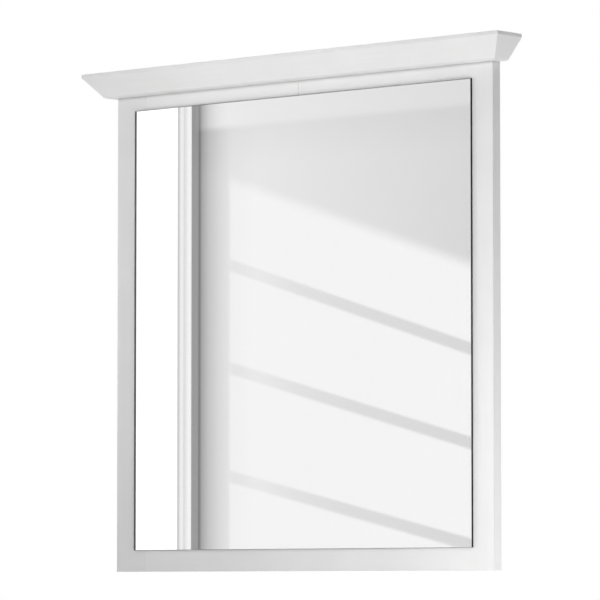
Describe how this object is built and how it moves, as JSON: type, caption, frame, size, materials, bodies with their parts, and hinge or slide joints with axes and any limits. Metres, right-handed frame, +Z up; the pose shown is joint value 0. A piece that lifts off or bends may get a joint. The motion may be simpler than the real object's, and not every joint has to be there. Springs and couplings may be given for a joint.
{
  "type": "wall mirror",
  "caption": "Rectangular wall mirror in a plain white-painted frame with a splayed, mitred cornice across the top; hangs on keyhole plates.",
  "frame": {"origin": "on the wall plane, midway between the entry holes of the two keyhole hangers", "axes": "+X along the wall, +Y into the wall, +Z up; the mirror faces -Y"},
  "size_m": [0.8, 0.055, 0.75],
  "materials": {
    "painted_wood": "satin white paint over solid wood",
    "bare_wood": "unfinished beech",
    "silvered_glass": "polished silvered float glass with a seamed edge",
    "foam_tape": "white closed-cell foam tape",
    "fibreboard": "raw brown hardboard",
    "zinc_steel": "bright zinc plate"
  },
  "bodies": {
    "root": {"left_stile": "painted_wood", "right_stile": "painted_wood", "bottom_rail": "painted_wood", "top_rail_left": "painted_wood", "top_rail_right": "painted_wood", "bottom_corner_dowels": "bare_wood", "top_corner_dowels": "bare_wood", "rail_joint_dowels": "bare_wood", "cornice_front": "painted_wood", "cornice_left_return": "painted_wood", "cornice_right_return": "painted_wood", "return_dowels": "bare_wood", "mitre_biscuits": "bare_wood", "cornice_screws": "zinc_steel", "mirror_pane": "silvered_glass", "left_tape": "foam_tape", "right_tape": "foam_tape", "top_tape": "foam_tape", "bottom_tape": "foam_tape", "back_panel": "fibreboard", "back_panel_screws": "zinc_steel", "left_hanger": "zinc_steel", "right_hanger": "zinc_steel", "hanger_screws": "zinc_steel"}
  },
  "joints": []
}
